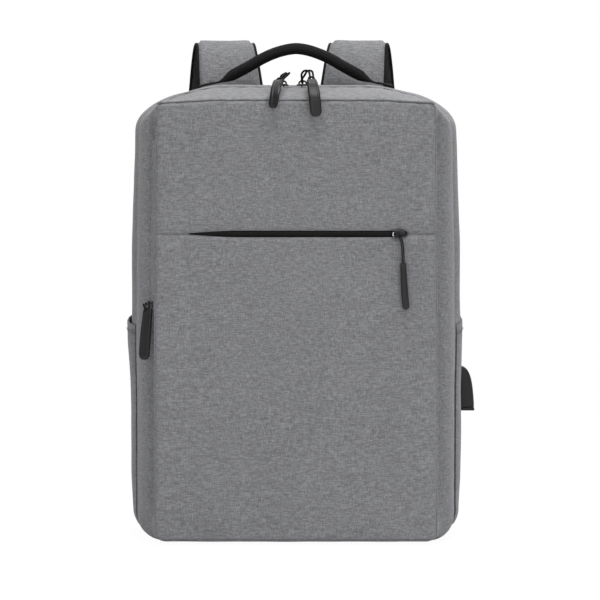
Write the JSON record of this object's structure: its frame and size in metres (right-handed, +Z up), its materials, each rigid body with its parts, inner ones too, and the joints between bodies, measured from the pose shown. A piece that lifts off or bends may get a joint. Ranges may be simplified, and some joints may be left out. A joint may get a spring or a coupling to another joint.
{
  "type": "laptop backpack",
  "caption": "Soft laptop backpack with a clamshell main compartment, front and side zip pockets, top handle, padded shoulder straps and an external USB port.",
  "frame": {"origin": "middle of the base, on the floor plane, under the fabric fold that the front turns about", "axes": "+Z up, the front panel faces -Y, the back pads and shoulder straps are on +Y, +X is to the right as seen from the front (the USB port's side)"},
  "size_m": [0.3163, 0.1922, 0.4454],
  "materials": {
    "shell_fabric": "woven heather, matt",
    "lining": "plain weave, matt",
    "air_mesh": "spacer mesh, matt",
    "webbing": "ribbed webbing, matt",
    "zip_tape": "woven tape and nylon coil, satin",
    "zip_metal": "black lacquer, satin",
    "soft_rubber": "matt",
    "plastic": "satin",
    "steel": "plated, satin",
    "board": "matt",
    "cable": "satin"
  },
  "bodies": {
    "rear": {"back_pad_left": "air_mesh", "back_pad_right": "air_mesh", "base_hinge": "shell_fabric", "handle_anchor_left": "webbing", "handle_anchor_right": "webbing", "laptop_sleeve": "lining", "luggage_band": "shell_fabric", "lumbar_pad": "air_mesh", "pocket_binding_left": "webbing", "pocket_binding_right": "webbing", "powerbank_pocket": "air_mesh", "rear_shell": "shell_fabric", "rear_zip_tape": "zip_tape", "side_pocket_left": "shell_fabric", "side_pocket_right": "shell_fabric", "strap_wing_left": "shell_fabric", "strap_wing_right": "shell_fabric", "strap_yoke": "shell_fabric", "usb_cable": "cable", "usb_hood": "soft_rubber", "usb_plug": "plastic", "usb_socket": "steel", "usb_tongue": "plastic"},
    "front": {"front_shell": "shell_fabric", "front_zip_tape": "zip_tape", "front_piping": "shell_fabric", "pocket_tape_upper": "zip_tape", "pocket_tape_lower": "zip_tape", "pocket_lining": "lining", "organiser_panel": "lining", "organiser_pocket": "air_mesh", "base_board": "board", "side_tape_front": "zip_tape", "side_tape_rear": "zip_tape"},
    "handle": {"top_handle": "webbing"},
    "main_slider_l": {"main_slider_left": "zip_metal"},
    "main_slider_r": {"main_slider_right": "zip_metal"},
    "main_pull_l": {"main_cord_left": "webbing", "main_grip_left": "soft_rubber"},
    "main_pull_r": {"main_cord_right": "webbing", "main_grip_right": "soft_rubber"},
    "pocket_runner": {"pocket_slider": "zip_metal"},
    "pocket_pull": {"pocket_cord": "webbing", "pocket_grip": "soft_rubber"},
    "side_runner": {"side_slider": "zip_metal"},
    "side_pull": {"side_cord": "webbing", "side_grip": "soft_rubber"},
    "port_cover": {"usb_cover": "soft_rubber"},
    "strap_l": {"strap_pad_left": "shell_fabric", "strap_tab_left": "webbing", "ladder_lock_left": "plastic", "strap_webbing_left": "webbing"},
    "strap_r": {"strap_pad_right": "shell_fabric", "strap_tab_right": "webbing", "ladder_lock_right": "plastic", "strap_webbing_right": "webbing"},
    "tail_l": {"strap_tail_left": "webbing"},
    "tail_r": {"strap_tail_right": "webbing"},
    "sleeve_flap": {"sleeve_tab": "webbing"}
  },
  "joints": [
    {"name": "main_opening", "type": "hinge", "parent": "rear", "child": "front", "pos_m": [0, -0.004, 0], "axis": [1, 0, 0], "range_deg": [0, 90]},
    {"name": "main_zip_left", "type": "slide", "parent": "front", "child": "main_slider_l", "axis": [-1, 0, 0], "range_m": [0, 0.042]},
    {"name": "main_zip_right", "type": "slide", "parent": "front", "child": "main_slider_r", "axis": [1, 0, 0], "range_m": [0, 0.048]},
    {"name": "main_pull_left", "type": "hinge", "parent": "main_slider_l", "child": "main_pull_l", "pos_m": [-0.012, -0.004, 0.4109], "axis": [1, 0, 0], "range_deg": [-75, 0]},
    {"name": "main_pull_right", "type": "hinge", "parent": "main_slider_r", "child": "main_pull_r", "pos_m": [0.006, -0.004, 0.4109], "axis": [1, 0, 0], "range_deg": [-75, 0]},
    {"name": "pocket_zip", "type": "slide", "parent": "front", "child": "pocket_runner", "axis": [-1, 0, 0], "range_m": [0, 0.155]},
    {"name": "pocket_pull_swing", "type": "hinge", "parent": "pocket_runner", "child": "pocket_pull", "pos_m": [0.091, -0.065, 0.277], "axis": [1, 0, 0], "range_deg": [-120, 0]},
    {"name": "side_zip", "type": "slide", "parent": "front", "child": "side_runner", "axis": [0.0102, 0, 0.9999], "range_m": [0, 0.13]},
    {"name": "side_pull_swing", "type": "hinge", "parent": "side_runner", "child": "side_pull", "pos_m": [-0.13346, -0.05205, 0.214], "axis": [-0.4472, 0.8944, 0], "range_deg": [0, 110]},
    {"name": "port_cover_swing", "type": "hinge", "parent": "rear", "child": "port_cover", "pos_m": [0.1479, 0.052, 0.109], "axis": [0, 1, 0], "range_deg": [0, 85]},
    {"name": "handle_fold", "type": "hinge", "parent": "rear", "child": "handle", "pos_m": [0, 0.032, 0.4106], "axis": [1, 0, 0], "range_deg": [-15, 30], "stiffness_Nm_per_rad": 0.05},
    {"name": "strap_left_swing", "type": "hinge", "parent": "rear", "child": "strap_l", "pos_m": [0, 0.071, 0.393], "axis": [1, 0, 0], "range_deg": [0, 20]},
    {"name": "strap_right_swing", "type": "hinge", "parent": "rear", "child": "strap_r", "pos_m": [0, 0.071, 0.393], "axis": [1, 0, 0], "range_deg": [0, 20]},
    {"name": "tail_left_run", "type": "slide", "parent": "strap_l", "child": "tail_l", "axis": [0, 0, -1], "range_m": [-0.047, 0]},
    {"name": "tail_right_run", "type": "slide", "parent": "strap_r", "child": "tail_r", "axis": [0, 0, -1], "range_m": [-0.047, 0]},
    {"name": "sleeve_tab_lift", "type": "hinge", "parent": "rear", "child": "sleeve_flap", "pos_m": [0, 0.0604, 0.33], "axis": [1, 0, 0], "range_deg": [-100, 0]}
  ],
  "couplings": [
    {"joint": "tail_left_run", "follows": "strap_left_swing", "m_per_rad": -0.13},
    {"joint": "tail_right_run", "follows": "strap_right_swing", "m_per_rad": -0.13}
  ]
}
